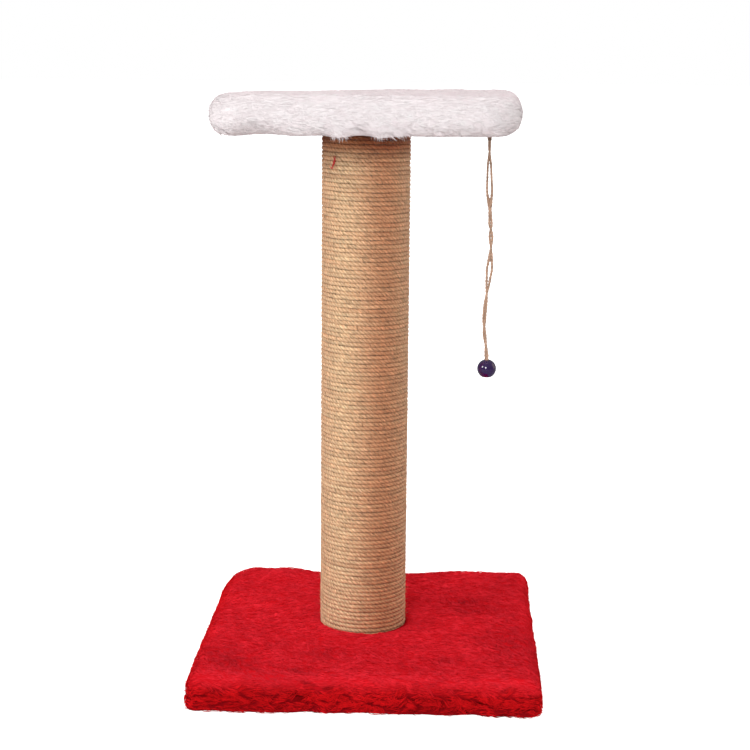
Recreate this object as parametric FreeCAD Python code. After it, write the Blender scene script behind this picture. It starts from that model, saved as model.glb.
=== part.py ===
import FreeCAD, Part
import math
import os

# Cat scratcher with perch. Units are mm, +Z is up, the front faces -Y.
# The origin is on the floor, under the middle of the square base.

V = FreeCAD.Vector

# Base: a board in a plush cover whose hem is folded under it
base_side = 300.0
base_thick = 18.0
base_corner = 6.0
base_pile = 11.0
base_rim_round = 13.0
base_foot_round = 8.0
hem_thick = 3.0
hem_width = 40.0
backing_thick = 1.0

# Post: a cardboard tube with a wooden plug in each end
post_x = -7.5
post_length = 492.0
tube_outer = 75.0
tube_wall = 4.0
plug_thick = 25.0

# Rope wound on the post, its turns falling to the right as seen from outside
rope_thick = 3.5
rope_turn_gap = 0.45
rope_seat_gap = 0.25
rope_end_gap = 0.3
rope_end_turns = 12
rope_groove = 1.1
rib_crest_share = 0.4

# Perch: a board wrapped all round in plush
perch_x = -3.1
perch_side = 250.0
perch_thick = 18.0
perch_corner = 20.0
perch_pile_side = 9.5
perch_pile_face = 9.0
perch_top_round = 17.5
perch_low_round = 17.5

# Bolts, washers and tee nuts that hold the boards to the plugs
bolt_thick = 8.0
bolt_head_wide = 13.0
bolt_head_high = 5.3
bolt_sunk = 1.0
bolt_past_nut = 0.8
washer_outer = 24.0
washer_thick = 1.6
washer_room = 1.0
nut_flange_outer = 22.0
nut_flange_thick = 1.6
nut_barrel_wall = 1.2
nut_barrel_long = 10.0

# Nails through the tube into each plug
nail_thick = 2.0
nail_long = 18.0
nail_head_wide = 4.5
nail_head_thick = 0.7
nail_head_sunk = 0.1
nails_per_plug = 4

# Staples in the hems
staple_wide = 10.0
staple_deep = 8.0
staple_wire_wide = 1.2
staple_wire_thick = 0.6
staple_room = 0.4
base_staples_per_side = 5
perch_staple_count = 8
perch_staple_ring_gap = 14.0

# Toy: a screw eye, a folded twine and a bead
toy_inset = 15.7
eye_wire = 1.8
eye_ring_radius = 4.0
eye_below_pile = 0.5
eye_shank = 2.2
eye_screw_long = 10.0
eye_room_side = 6.0
eye_room_in = 5.0
eye_room_out = 11.0
twine_thick = 1.8
twine_lean = 14.0
top_knot_size = 5.2
top_knot_drop = 6.0
cord_thick = 4.2
low_knot_size = 6.4
low_knot_sunk = 0.2
bead_size = 18.0
bead_mouth_room = 0.6

# Clearances
fit_gap = 0.1
running_gap = 0.3
soft_gap = 0.4

# Route of the twine below its top knot: to the right, to the back, down
cord_route = [
    V(0.0, 0.0, 0.0),
    V(0.4, 0.3, -33.0),
    V(1.8, -0.3, -68.0),
    V(4.0, 0.0, -101.0),
    V(1.2, 0.5, -136.0),
    V(-2.4, 0.0, -174.0),
    V(1.8, 0.0, -200.0),
    V(1.8, 0.0, -220.3),
]
arc_share = 0.45

# Levels and radii that follow from the sizes
base_low = hem_thick
base_top = base_low + base_thick
base_cover_top = base_top + base_pile
post_foot = base_top + backing_thick
post_top = post_foot + post_length
perch_low = post_top
perch_top = perch_low + perch_thick
perch_cover_low = perch_low - perch_pile_face
perch_cover_top = perch_top + perch_pile_face
tube_radius = tube_outer / 2
tube_bore_radius = tube_radius - tube_wall
rope_centre_radius = tube_radius + rope_seat_gap + rope_thick / 2
rope_outer_radius = rope_centre_radius + rope_thick / 2
rope_pitch = rope_thick + rope_turn_gap
bolt_hole_radius = bolt_thick / 2 + fit_gap
sink_radius = washer_outer / 2 + washer_room
sink_deep = bolt_head_high + washer_thick + bolt_sunk
nut_barrel_radius = bolt_hole_radius + nut_barrel_wall
toy_x = perch_x + perch_side / 2 - toy_inset
eye_axis_z = perch_cover_low - eye_below_pile
top_knot = V(toy_x, 0, eye_axis_z - top_knot_drop)
cord_points = [top_knot + step for step in cord_route]
low_knot = cord_points[-1]
bead_radius = bead_size / 2
bead_bore_radius = cord_thick / 2 + running_gap
bead_mouth_radius = low_knot_size / 2 + bead_mouth_room
bead_rim_drop = math.sqrt(bead_radius ** 2 - bead_mouth_radius ** 2)
bead_centre = low_knot + V(0, 0, bead_rim_drop - low_knot_size / 2 - low_knot_sunk)


def rod(radius, low, high, x=0.0, y=0.0):
    return Part.makeCylinder(radius, high - low, V(x, y, low))


def slab(side, corner, low, high, x=0.0):
    block = Part.makeBox(side, side, high - low, V(x - side / 2, -side / 2, low))
    uprights = [edge for edge in block.Edges if abs(edge.tangentAt(edge.FirstParameter).z) > 0.5]
    return block.makeFillet(corner, uprights)


def rim_edges(shape, level):
    box_of = [(edge, edge.BoundBox) for edge in shape.Edges]
    return [edge for edge, box in box_of if box.ZLength < 1e-6 and abs(box.ZMin - level) < 1e-6]


def soft_slab(side, corner, low, high, low_round, top_round, x=0.0):
    block = slab(side, corner, low, high, x)
    block = block.makeFillet(top_round, rim_edges(block, high))
    return block.makeFillet(low_round, rim_edges(block, low))


def staple():
    wide = staple_wire_wide
    thick = staple_wire_thick
    leg = staple_deep + backing_thick
    crown = Part.makeBox(staple_wide, wide, thick, V(-staple_wide / 2, -wide / 2, -thick))
    near = Part.makeBox(thick, wide, leg, V(-staple_wide / 2, -wide / 2, 0))
    far = Part.makeBox(thick, wide, leg, V(staple_wide / 2 - thick, -wide / 2, 0))
    return crown.fuse([near, far]).removeSplitter()


def staple_pocket(deep):
    wide = staple_wire_wide + 2 * staple_room
    long = staple_wide + 2 * staple_room
    return Part.makeBox(long, wide, deep, V(-long / 2, -wide / 2, -deep))


def placed(shape, x, y, z, turn):
    copy = shape.copy()
    copy.rotate(V(0, 0, 0), V(0, 0, 1), turn)
    copy.translate(V(x, y, z))
    return copy


def base_staple_places():
    reach = base_side / 2 - hem_width / 2
    step = (base_side - 2 * hem_width) / (base_staples_per_side - 1)
    places = []
    for index in range(base_staples_per_side):
        along = -(base_side - 2 * hem_width) / 2 + index * step
        places.append((along, -reach, 0))
        places.append((along, reach, 0))
        places.append((-reach, along, 90))
        places.append((reach, along, 90))
    return places


def perch_staple_places():
    reach = rope_outer_radius + perch_staple_ring_gap
    places = []
    for index in range(perch_staple_count):
        turn = 360.0 * index / perch_staple_count
        x = post_x + reach * math.cos(math.radians(turn))
        y = reach * math.sin(math.radians(turn))
        places.append((x, y, turn + 90))
    return places


def all_placed(shape, places, level):
    return [placed(shape, x, y, level, turn) for x, y, turn in places]


def stapled(cover, board, places, seat, pocket_deep):
    driven = all_placed(staple(), places, seat)
    pockets = all_placed(staple_pocket(pocket_deep), places, seat)
    return cover.cut(driven + pockets), board.cut(driven), Part.makeCompound(driven)


def make_base():
    board = slab(base_side, base_corner, base_low, base_top)
    outer_side = base_side + 2 * base_pile
    outer_corner = base_corner + base_pile
    cover = soft_slab(outer_side, outer_corner, 0, base_cover_top, base_foot_round, base_rim_round)
    cover = cover.cut(board)
    opening = base_side - 2 * hem_width
    cover = cover.cut(slab(opening, base_corner, 0, base_low))
    cover = cover.cut(rod(rope_outer_radius + soft_gap, post_foot, base_cover_top, post_x))
    cover = cover.cut(rod(bolt_hole_radius, base_top, post_foot, post_x))
    board = board.cut(rod(bolt_hole_radius, base_low, base_top, post_x))
    board = board.cut(rod(sink_radius, base_low, base_low + sink_deep, post_x))
    seat = base_low - backing_thick
    cover, board, staples = stapled(cover, board, base_staple_places(), seat, seat)
    return {"base_board": board, "base_cover": cover, "base_staples": staples}


def make_perch():
    board = slab(perch_side, perch_corner, perch_low, perch_top, perch_x)
    outer_side = perch_side + 2 * perch_pile_side
    outer_corner = perch_corner + perch_pile_side
    low, top = perch_cover_low, perch_cover_top
    cover = soft_slab(outer_side, outer_corner, low, top, perch_low_round, perch_top_round, perch_x)
    cover = cover.cut(board)
    cover = cover.cut(rod(rope_outer_radius + soft_gap, perch_cover_low, perch_low, post_x))
    room_long = eye_room_in + eye_room_out
    room_place = V(toy_x - eye_room_in, -eye_room_side, perch_cover_low)
    cover = cover.cut(Part.makeBox(room_long, 2 * eye_room_side, perch_pile_face, room_place))
    board = board.cut(rod(bolt_hole_radius, perch_low, perch_top, post_x))
    board = board.cut(rod(sink_radius, perch_top - sink_deep, perch_top, post_x))
    board = board.cut(rod(eye_shank / 2 + fit_gap, perch_low, perch_low + eye_screw_long + fit_gap, toy_x))
    seat = perch_low - backing_thick
    pocket_deep = perch_pile_face - backing_thick
    cover, board, staples = stapled(cover, board, perch_staple_places(), seat, pocket_deep)
    return {"perch_board": board, "perch_cover": cover, "perch_staples": staples}


def hex_bolt(length):
    corner_radius = bolt_head_wide / math.sqrt(3)
    turns = [math.radians(60 * index) for index in range(7)]
    corners = [V(corner_radius * math.cos(turn), corner_radius * math.sin(turn), 0) for turn in turns]
    head = Part.Face(Part.makePolygon(corners)).extrude(V(0, 0, -bolt_head_high))
    return head.fuse(rod(bolt_thick / 2, 0, length)).removeSplitter()


def washer():
    return rod(washer_outer / 2, 0, washer_thick).cut(rod(bolt_hole_radius, 0, washer_thick))


def tee_nut():
    barrel = rod(nut_barrel_radius, -nut_barrel_long, 0)
    flange = rod(nut_flange_outer / 2, 0, nut_flange_thick)
    bore = rod(bolt_hole_radius, -nut_barrel_long, nut_flange_thick)
    return barrel.fuse(flange).removeSplitter().cut(bore)


def plug():
    body = rod(tube_bore_radius - fit_gap, 0, plug_thick)
    body = body.cut(rod(bolt_hole_radius, 0, plug_thick))
    return body.cut(rod(nut_barrel_radius + fit_gap, plug_thick - nut_barrel_long - fit_gap, plug_thick))


def nail(spare, head_long):
    outward = V(1, 0, 0)
    top = tube_radius - nail_head_sunk
    tip = V(top - nail_long - spare, 0, 0)
    head_low = V(top - nail_head_thick - spare, 0, 0)
    shank = Part.makeCylinder(nail_thick / 2 + spare, nail_long, tip, outward)
    head = Part.makeCylinder(nail_head_wide / 2 + spare, head_long, head_low, outward)
    return shank.fuse(head).removeSplitter()


def nail_ring(shape):
    turns = [360.0 * (index + 0.5) / nails_per_plug for index in range(nails_per_plug)]
    return [placed(shape, 0, 0, plug_thick / 2, turn) for turn in turns]


def end_set():
    nail_room = nail_ring(nail(fit_gap, tube_wall))
    nails = nail_ring(nail(0.0, nail_head_thick))
    nut = tee_nut()
    nut.translate(V(0, 0, plug_thick))
    return {"plug": plug().cut(nail_room), "tee_nut": nut, "nails": Part.makeCompound(nails)}, nail_room


def stand_at(shape, level, upside_down):
    copy = shape.copy()
    if upside_down:
        copy.rotate(V(0, 0, 0), V(1, 0, 0), 180)
    copy.translate(V(post_x, 0, level))
    return copy


def bolt_set(board_thick, between):
    under_head = board_thick - sink_deep + washer_thick
    through = under_head + between + plug_thick + nut_flange_thick
    return hex_bolt(through + bolt_past_nut), washer(), under_head


def make_post():
    pieces = {}
    tube = rod(tube_radius, post_foot, post_top, post_x)
    tube = tube.cut(rod(tube_bore_radius, post_foot, post_top, post_x))
    parts, nail_room = end_set()
    for end, level, upside_down in (("lower", post_foot, False), ("upper", post_top, True)):
        for name, shape in parts.items():
            pieces[end + "_" + name] = stand_at(shape, level, upside_down)
        tube = tube.cut([stand_at(room, level, upside_down) for room in nail_room])
    pieces["post_tube"] = tube
    bolt, ring, under_head = bolt_set(base_thick, backing_thick)
    pieces["base_bolt"] = stand_at(bolt, base_top - under_head, False)
    pieces["base_washer"] = stand_at(ring, base_top - under_head, False)
    bolt, ring, under_head = bolt_set(perch_thick, 0.0)
    pieces["perch_bolt"] = stand_at(bolt, perch_low + under_head, True)
    pieces["perch_washer"] = stand_at(ring, perch_low + under_head, True)
    return pieces


def corner_arc(start, corner, end):
    middle = (start + end) * 0.5
    half_turn = (corner - start).getAngle(end - start)
    top = middle + (corner - middle) * (math.tan(half_turn / 2) / math.tan(half_turn))
    return Part.Arc(start, top, end).toShape()


def biarc(start, start_way, end, end_way):
    span = end - start
    bend = 2 * (1 - start_way.dot(end_way))
    along = span.dot(start_way + end_way)
    reach = (math.sqrt(along ** 2 + bend * span.dot(span)) - along) / bend
    middle = (start + end + (start_way - end_way) * reach) * 0.5
    first = corner_arc(start, start + start_way * reach, middle)
    return [first, corner_arc(middle, end - end_way * reach, end)]


def tube_along(wire, thick):
    first = wire.Edges[0]
    start = first.valueAt(first.FirstParameter)
    ring = Part.Wire(Part.makeCircle(thick / 2, start, first.tangentAt(first.FirstParameter)))
    shell = Part.BRepOffsetAPI.MakePipeShell(wire)
    shell.add(ring)
    shell.build()
    shell.makeSolid()
    return shell.shape()


def helix_state(low, turn_share):
    angle = math.pi / 2 - 2 * math.pi * turn_share
    place = V(post_x + rope_centre_radius * math.cos(angle), rope_centre_radius * math.sin(angle), 0)
    place.z = low + rope_pitch * turn_share
    way = V(math.sin(angle), -math.cos(angle), rope_pitch / (2 * math.pi * rope_centre_radius))
    return place, way.normalize()


def print_least_gap(name, low):
    steps = 48
    points = [helix_state(low, index / steps)[0] for index in range(rope_end_turns * steps + 1)]
    least = min(points[i].distanceToPoint(points[j])
                for i in range(len(points)) for j in range(i + steps // 2, len(points)))
    print(name, "least gap of the rope to itself, mm:", round(least - rope_thick, 3))


def rope_turns(name, low):
    states = [helix_state(low, quarter / 4) for quarter in range(4 * rope_end_turns + 1)]
    start, start_way = states[0]
    end, end_way = states[-1]
    edges = [Part.makeLine(start - start_way * rope_thick, start)]
    for (here, way), (there, there_way) in zip(states, states[1:]):
        edges += biarc(here, way, there, there_way)
    edges.append(Part.makeLine(end, end + end_way * rope_thick))
    print_least_gap(name, low)
    return tube_along(Part.Wire(edges), rope_thick)


def ribbed_sleeve(low, high):
    ribs = int((high - low) / rope_pitch)
    pitch = (high - low) / ribs
    crest = rope_outer_radius
    root = rope_outer_radius - rope_groove
    rise = (1 - rib_crest_share) / 2
    profile = [(root, 0.0), (crest, rise), (crest, rise + rib_crest_share)]
    rings = [(radius, low + (rib + share) * pitch) for rib in range(ribs) for radius, share in profile]
    rings.append((root, high))
    circles = [Part.Wire(Part.makeCircle(radius, V(post_x, 0, level))) for radius, level in rings]
    body = Part.makeLoft(circles, True, True)
    return body.cut(rod(tube_radius + rope_seat_gap, low, high, post_x))


def make_rope():
    turns_high = rope_end_turns * rope_pitch
    lower_start = post_foot + rope_end_gap + rope_thick / 2
    upper_start = post_top - rope_end_gap - rope_thick / 2 - turns_high
    past_turn = rope_thick / 2 + rope_turn_gap
    sleeve_low = lower_start + turns_high + past_turn
    sleeve_high = upper_start - past_turn
    return {
        "rope_lower_turns": rope_turns("lower", lower_start),
        "rope_sleeve": ribbed_sleeve(sleeve_low, sleeve_high),
        "rope_upper_turns": rope_turns("upper", upper_start),
    }


def make_eye():
    centre = V(toy_x, 0, eye_axis_z + eye_ring_radius)
    ring = Part.makeTorus(eye_ring_radius, eye_wire / 2, centre, V(1, 0, 0))
    shank_low = centre.z + eye_ring_radius
    return ring.fuse(rod(eye_shank / 2, shank_low, perch_low + eye_screw_long, toy_x)).removeSplitter()


def make_bight():
    axis = V(toy_x, 0, eye_axis_z)
    radius = eye_wire / 2 + running_gap + twine_thick / 2
    lean = math.radians(twine_lean)

    def on_circle(angle):
        return axis + V(math.cos(angle), 0, math.sin(angle)) * radius

    leg = (top_knot_drop - radius * math.sin(lean)) / math.cos(lean)
    start = on_circle(-lean)
    end = on_circle(math.pi + lean)
    low_start = start + V(-math.sin(lean), 0, -math.cos(lean)) * leg
    low_end = end + V(math.sin(lean), 0, -math.cos(lean)) * leg
    top = on_circle(math.pi / 2)
    edges = [
        Part.makeLine(low_start, start),
        Part.Arc(start, on_circle(math.pi / 4 - lean / 2), top).toShape(),
        Part.Arc(top, on_circle(3 * math.pi / 4 + lean / 2), end).toShape(),
        Part.makeLine(end, low_end),
    ]
    return tube_along(Part.Wire(edges), twine_thick).cut(Part.makeSphere(top_knot_size / 2, top_knot))


def cord_wire():
    edges = []
    radii = []
    last = cord_points[0]
    for before, corner, after in zip(cord_points, cord_points[1:], cord_points[2:]):
        way_in = (corner - before).normalize()
        way_out = (after - corner).normalize()
        reach = arc_share * min((corner - before).Length, (after - corner).Length)
        radii.append(round(reach / math.tan(way_in.getAngle(way_out) / 2), 1))
        start = corner - way_in * reach
        end = corner + way_out * reach
        edges.append(Part.makeLine(last, start))
        edges.append(corner_arc(start, corner, end))
        last = end
    edges.append(Part.makeLine(last, cord_points[-1]))
    print("cord radii, mm:", radii)
    return Part.Wire(edges)


def make_cord():
    wire = cord_wire()
    cord = tube_along(wire, cord_thick)
    section = math.pi * cord_thick ** 2 / 4
    share = cord.Volume / section / wire.Length
    print("cord length, mm:", round(wire.Length, 1), "volume share:", round(share, 4))
    cord = cord.cut(Part.makeSphere(top_knot_size / 2 + running_gap, top_knot))
    return cord.cut(Part.makeSphere(low_knot_size / 2, low_knot))


def make_bead():
    x, y, z = bead_centre.x, bead_centre.y, bead_centre.z
    seat = low_knot.z + math.sqrt((low_knot_size / 2) ** 2 - bead_bore_radius ** 2) + running_gap
    bead = Part.makeSphere(bead_radius, bead_centre)
    bead = bead.cut(rod(bead_bore_radius, z - bead_radius, z + bead_radius, x, y))
    return bead.cut(rod(bead_mouth_radius, z - bead_radius, seat, x, y))


def make_toy():
    return {
        "toy_eye": make_eye(),
        "toy_bight": make_bight(),
        "toy_top_knot": Part.makeSphere(top_knot_size / 2, top_knot),
        "toy_cord": make_cord(),
        "toy_bead": make_bead(),
        "toy_low_knot": Part.makeSphere(low_knot_size / 2, low_knot),
    }


os.makedirs("parts", exist_ok=True)
for make in (make_base, make_post, make_rope, make_perch, make_toy):
    for node, shape in make().items():
        shape.exportStep("parts/" + node + ".step")
        print(node, "solids:", len(shape.Solids), "volume, cm3:", round(shape.Volume / 1000, 3))
print("toy hangs at x, mm:", round(toy_x, 2), "bead centre z, mm:", round(bead_centre.z, 2))
print("overall height, mm:", round(perch_cover_top, 2))
print("base width, mm:", round(base_side + 2 * base_pile, 2))
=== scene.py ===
import math

import bmesh
import bpy
import numpy as np
from mathutils import Matrix, Vector
from mathutils.bvhtree import BVHTree
from mathutils.kdtree import KDTree


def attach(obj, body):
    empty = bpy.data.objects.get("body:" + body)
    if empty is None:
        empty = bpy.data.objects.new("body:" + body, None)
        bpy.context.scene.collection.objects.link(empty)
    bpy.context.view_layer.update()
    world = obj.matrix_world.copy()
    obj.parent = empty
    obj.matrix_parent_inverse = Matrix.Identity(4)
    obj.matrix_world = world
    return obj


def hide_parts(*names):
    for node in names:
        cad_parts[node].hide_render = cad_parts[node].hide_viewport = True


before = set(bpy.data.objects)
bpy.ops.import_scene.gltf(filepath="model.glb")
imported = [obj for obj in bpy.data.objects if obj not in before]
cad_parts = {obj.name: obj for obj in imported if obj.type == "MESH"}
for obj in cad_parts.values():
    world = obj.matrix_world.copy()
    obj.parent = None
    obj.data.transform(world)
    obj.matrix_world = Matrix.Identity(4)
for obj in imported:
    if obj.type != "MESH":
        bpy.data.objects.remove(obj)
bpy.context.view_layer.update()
print("frame loaded, nodes:", len(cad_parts))


# small helpers

def clearSelection():
    bpy.ops.object.select_all(action="DESELECT")


def makeActive(piece):
    clearSelection()
    piece.select_set(True)
    bpy.context.view_layer.objects.active = piece


def pickEdges(piece, wanted):  # edit mode only
    shape = bmesh.from_edit_mesh(piece.data)
    for face in shape.faces:
        face.select = False
    for edge in shape.edges:
        edge.select = wanted(edge.verts[0].co, edge.verts[1].co)
    bmesh.update_edit_mesh(piece.data)


def bakePlace():  # place and size go into the points
    bpy.ops.object.transform_apply(location=True, rotation=True, scale=True)


def applyModifiers(piece):
    makeActive(piece)
    for modifier in list(piece.modifiers):
        bpy.ops.object.modifier_apply(modifier=modifier.name)


def carve(piece, cutter):  # takes the cutter's shape out of the piece
    cut = piece.modifiers.new("carve", "BOOLEAN")
    cut.operation = "DIFFERENCE"
    cut.solver = "EXACT"
    cut.object = cutter
    applyModifiers(piece)
    bpy.data.objects.remove(cutter)


def meshPiece(name, points, faces, material, smooth=True):
    mesh = bpy.data.meshes.new(name)
    mesh.from_pydata(points, [], faces)
    mesh.update()
    if smooth:
        mesh.shade_smooth()
    piece = bpy.data.objects.new(name, mesh)
    bpy.context.scene.collection.objects.link(piece)
    mesh.materials.append(material)
    return piece


def readPlaces(piece, what="co"):  # places or normals of a piece's points
    rows = np.zeros(len(piece.data.vertices) * 3, np.float32)
    piece.data.vertices.foreach_get(what, rows)
    return rows.reshape(-1, 3).astype(float)


def paintPoints(piece, layer, tones):  # one colour for each point
    colour = np.ones((len(tones), 4), np.float32)
    colour[:, :3] = tones
    made = piece.data.color_attributes.new(layer, "FLOAT_COLOR", "POINT")
    made.data.foreach_set("color", colour.ravel())


def unit(rows):
    return rows / np.maximum(np.linalg.norm(rows, axis=-1, keepdims=True), 1e-9)


def fade(values, zero, one):  # 0 up to the first value, 1 from the second
    return np.clip((values - zero) / (one - zero), 0, 1)


def smoothNoise(values, seed, waves=6):  # gentle wander between about -1 and 1
    rng = np.random.default_rng(seed)
    total = np.zeros(len(values))
    for wave in range(waves):
        total += np.sin(values * rng.uniform(0.5, 2.2) * 1.4 ** wave + rng.uniform(0, 6.28)) / 1.3 ** wave
    return total / 2.6


def patchNoise(points, size, seed, waves=9):  # soft patches in space, about -1 to 1
    rng = np.random.default_rng(seed)
    total = np.zeros(len(points))
    for wave in range(waves):
        way = unit(rng.normal(size=(1, 3)))[0]
        total += np.sin(points @ way * 6.28 / (size * rng.uniform(0.6, 1.6)) + rng.uniform(0, 6.28))
    return total / math.sqrt(waves)


# camera, at the height and turn that the picture was taken from

viewSet = {
    "place": (0.06686, -1.56616, 0.57678),
    "forward": (-0.04043522, 0.98112584, -0.18909544),
    "roll": math.radians(0.51),
    "lens": 80.638,
}


def setCamera():
    bpy.ops.object.camera_add(location=viewSet["place"])
    camera = bpy.context.object
    camera.name = "pictureCamera"
    camera.data.sensor_width = 36.0
    camera.data.lens = viewSet["lens"]
    camera.data.clip_start = 0.05
    camera.data.clip_end = 100.0
    forward = Vector(viewSet["forward"]).normalized()
    right = forward.cross(Vector((0, 0, 1))).normalized()
    up = right.cross(forward)
    c, s = math.cos(viewSet["roll"]), math.sin(viewSet["roll"])
    right, up = right * c + up * s, up * c - right * s
    turn = Matrix((right, up, -forward)).transposed().to_4x4()
    camera.matrix_world = Matrix.Translation(Vector(viewSet["place"])) @ turn
    bpy.context.scene.camera = camera


setCamera()
print("camera set")


# node groups that several finishes share

def newGroup(name, inputs, outputs):
    group = bpy.data.node_groups.new(name, "ShaderNodeTree")
    for label, kind, value in inputs:
        socket = group.interface.new_socket(name=label, in_out="INPUT", socket_type=kind)
        if value is not None:
            socket.default_value = value
    for label, kind in outputs:
        group.interface.new_socket(name=label, in_out="OUTPUT", socket_type=kind)
    return group, group.nodes.new("NodeGroupInput"), group.nodes.new("NodeGroupOutput")


def feed(tree, socket, value):  # a link from another node, a colour, or a plain value
    if isinstance(value, bpy.types.NodeSocket):
        tree.links.new(value, socket)
    elif socket.type == "RGBA":
        socket.default_value = (*value, 1.0)
    else:
        socket.default_value = value


def addNode(tree, kind, inputs, **settings):
    node = tree.nodes.new(kind)
    for key, value in settings.items():
        setattr(node, key, value)
    for key, value in inputs.items():
        feed(tree, node.inputs[key], value)
    return node


def mathNode(tree, operation, a, b):
    return addNode(tree, "ShaderNodeMath", {0: a, 1: b}, operation=operation).outputs[0]


def noiseNode(tree, vector, scale, detail):
    inputs = {"Vector": vector, "Scale": scale, "Detail": detail, "Roughness": 0.55}
    return addNode(tree, "ShaderNodeTexNoise", inputs).outputs[0]


def mixColour(tree, share, first, second):
    return addNode(tree, "ShaderNodeMix", {0: share, 6: first, 7: second}, data_type="RGBA").outputs[2]


def buildToneGroup():  # a colour that wanders between darker and lighter, and a height
    group, inputs, outputs = newGroup(
        "toneWander",
        [("Vector", "NodeSocketVector", None), ("Colour", "NodeSocketColor", (1, 1, 1, 1)),
         ("Patch scale", "NodeSocketFloat", 30.0), ("Fine scale", "NodeSocketFloat", 400.0),
         ("Amount", "NodeSocketFloat", 0.2)],
        [("Colour", "NodeSocketColor"), ("Height", "NodeSocketFloat"), ("Value", "NodeSocketFloat")])
    given = inputs.outputs
    patch = noiseNode(group, given["Vector"], given["Patch scale"], 2.0)
    fine = noiseNode(group, given["Vector"], given["Fine scale"], 4.0)
    both = mathNode(group, "ADD", mathNode(group, "MULTIPLY", patch, 0.6), mathNode(group, "MULTIPLY", fine, 0.4))
    centred = mathNode(group, "MULTIPLY", mathNode(group, "SUBTRACT", both, 0.5), 2.0)
    gain = mathNode(group, "ADD", mathNode(group, "MULTIPLY", centred, given["Amount"]), 1.0)
    scaled = addNode(group, "ShaderNodeVectorMath", {0: given["Colour"], "Scale": gain}, operation="SCALE")
    for label, made in (("Colour", scaled.outputs[0]), ("Height", fine), ("Value", both)):
        feed(group, outputs.inputs[label], made)
    return group


toneGroup = buildToneGroup()


def newFinish(name):
    finish = bpy.data.materials.new(name)
    finish.use_nodes = True
    return finish, finish.node_tree, finish.node_tree.nodes["Principled BSDF"]


def placeTone(tree, vector, colour, patchScale, fineScale, amount):
    inputs = {"Vector": vector, "Colour": colour, "Amount": amount,
              "Patch scale": patchScale, "Fine scale": fineScale}
    return addNode(tree, "ShaderNodeGroup", inputs, node_tree=toneGroup)


dull = {"Specular IOR Level": 0.0}
plush = {"layer": "pileTone", "rough": (0.62, 0.9), "sockets": dull}
weave = {"layer": "backingTone", "stretch": (0.3, 1.0, 1.0), "rough": (0.8, 1.0), "bump": (0.6, 0.0008),
         "sockets": dull}
fibrous = {"layer": "ropeTone", "run": "ropeRun", "stretch": (1.0, 9.0, 1.0), "grain": (0.9, 6.0, 0.42),
           "rough": (0.6, 0.95), "bump": (0.5, 0.0003), "sockets": {"Specular IOR Level": 0.3, "Sheen Weight": 0.12}}
# grain: patch scale, fine scale and amount; bump: strength and distance
finishSet = {
    "whitePile": {**plush, "grain": (22.0, 700.0, 0.04)},
    "redPile": {**plush, "grain": (22.0, 700.0, 0.10)},
    "whiteBacking": {**weave, "grain": (60.0, 900.0, 0.06)},
    "redBacking": {**weave, "grain": (60.0, 900.0, 0.2)},
    "juteRope": fibrous,
    "juteTwine": fibrous,
    "beadLacquer": {"colour": (0.022, 0.003, 0.062), "grain": (90.0, 900.0, 0.25), "rough": (0.04, 0.10),
                    "bump": (0.05, 0.0002),
                    "sockets": {"Specular IOR Level": 0.5, "Coat Weight": 0.9, "Coat Roughness": 0.03}},
    "zincSteel": {"colour": (0.56, 0.57, 0.58), "stretch": (1.0, 1.0, 6.0), "grain": (220.0, 1800.0, 0.25),
                  "rough": (0.26, 0.5), "bump": (0.12, 0.0002), "sockets": {"Metallic": 1.0}},
    "chipboard": {"flakes": ((0.30, 0.185, 0.095), (0.52, 0.37, 0.21)), "flakeScale": 320.0,
                  "stretch": (1.0, 1.0, 2.5), "grain": (120.0, 1500.0, 0.35), "rough": (0.7, 0.95),
                  "bump": (0.35, 0.0006)},
    "plugWood": {"colour": (0.55, 0.37, 0.20), "stretch": (1.0, 6.0, 1.0), "grain": (55.0, 420.0, 0.45),
                 "rough": (0.55, 0.85), "bump": (0.3, 0.0004)},
    "cardboardTube": {"colour": (0.40, 0.27, 0.15), "stretch": (1.0, 1.0, 0.35), "grain": (70.0, 1300.0, 0.3),
                      "rough": (0.75, 0.98), "bump": (0.25, 0.0003)},
}


def makeFinish(name, spec):
    finish, tree, shader = newFinish(name)
    if "run" in spec:  # fibres run along the strand
        start = addNode(tree, "ShaderNodeUVMap", {}, uv_map=spec["run"]).outputs[0]
    else:
        start = tree.nodes.new("ShaderNodeTexCoord").outputs["Object"]
    stretch = spec.get("stretch", (1.0, 1.0, 1.0))
    vector = addNode(tree, "ShaderNodeMapping", {"Vector": start, "Scale": stretch}).outputs[0]
    colour = spec.get("colour")
    if "layer" in spec:
        colour = addNode(tree, "ShaderNodeAttribute", {}, attribute_name=spec["layer"]).outputs["Color"]
    if "flakes" in spec:
        chips = addNode(tree, "ShaderNodeTexVoronoi", {"Vector": vector, "Scale": spec["flakeScale"]})
        split = addNode(tree, "ShaderNodeSeparateColor", {0: chips.outputs["Color"]})
        colour = mixColour(tree, split.outputs[0], *spec["flakes"])
    tone = placeTone(tree, vector, colour, *spec["grain"])
    feed(tree, shader.inputs["Base Color"], tone.outputs["Colour"])
    low, high = spec["rough"]
    rough = addNode(tree, "ShaderNodeMapRange", {"Value": tone.outputs["Value"], "To Min": low, "To Max": high})
    feed(tree, shader.inputs["Roughness"], rough.outputs[0])
    if "bump" in spec:
        strength, distance = spec["bump"]
        inputs = {"Height": tone.outputs["Height"], "Strength": strength, "Distance": distance}
        feed(tree, shader.inputs["Normal"], addNode(tree, "ShaderNodeBump", inputs).outputs[0])
    for socket, value in spec.get("sockets", {}).items():
        shader.inputs[socket].default_value = value
    return finish


finishes = {name: makeFinish(name, spec) for name, spec in finishSet.items()}
print("finishes made:", len(finishes))


def giveFinish(mesh, name):
    mesh.materials.clear()
    mesh.materials.append(finishes[name])


# twine of the toy: two plies that cross and part on their way down to the bead

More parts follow.
